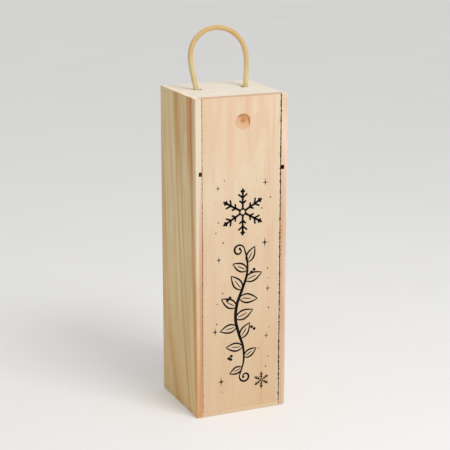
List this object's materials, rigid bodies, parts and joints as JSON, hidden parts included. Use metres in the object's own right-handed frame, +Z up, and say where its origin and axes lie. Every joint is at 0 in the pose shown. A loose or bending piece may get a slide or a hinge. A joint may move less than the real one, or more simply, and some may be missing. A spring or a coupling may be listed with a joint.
{
  "type": "wooden wine box",
  "caption": "Tall pine box for one wine bottle, with a sliding tongued front lid, a neck holder inside and a rope handle on top.",
  "frame": {"origin": "middle of the box's footprint, on the surface the box stands on", "axes": "+Z up along the box, -Y out of the sliding lid's face, +X to the right of someone who faces the lid"},
  "size_m": [0.105, 0.1, 0.4162],
  "materials": {
    "side_wood": "sanded pine, unfinished, matte",
    "back_wood": "sanded pine, unfinished, matte",
    "top_wood": "sanded pale pine, unfinished, matte",
    "bottom_wood": "sanded pine, unfinished, matte",
    "lid_wood": "sanded pine, unfinished, matte",
    "holder_wood": "thin sawn board, matte",
    "rope": "braided straw-yellow rope",
    "brad_steel": "plain steel wire",
    "print_ink": "black screen-print ink"
  },
  "bodies": {
    "box": {"left_side": "side_wood", "right_side": "side_wood", "back_panel": "back_wood", "top_panel": "top_wood", "bottom_panel": "bottom_wood", "neck_holder": "holder_wood", "rope_knot_left": "rope", "rope_knot_right": "rope", "left_side_brads": "brad_steel", "right_side_brads": "brad_steel"},
    "lid": {"sliding_lid": "lid_wood"},
    "handle": {"rope_handle": "rope"}
  },
  "joints": [
    {"name": "lid_slide", "type": "slide", "parent": "box", "child": "lid", "axis": [0, 0, 1], "range_m": [0, 0.36]},
    {"name": "rope_swing", "type": "hinge", "parent": "box", "child": "handle", "pos_m": [0, 0.006, 0.3533], "axis": [-1, 0, 0], "range_deg": [-55, 65], "stiffness_Nm_per_rad": 0.02}
  ]
}
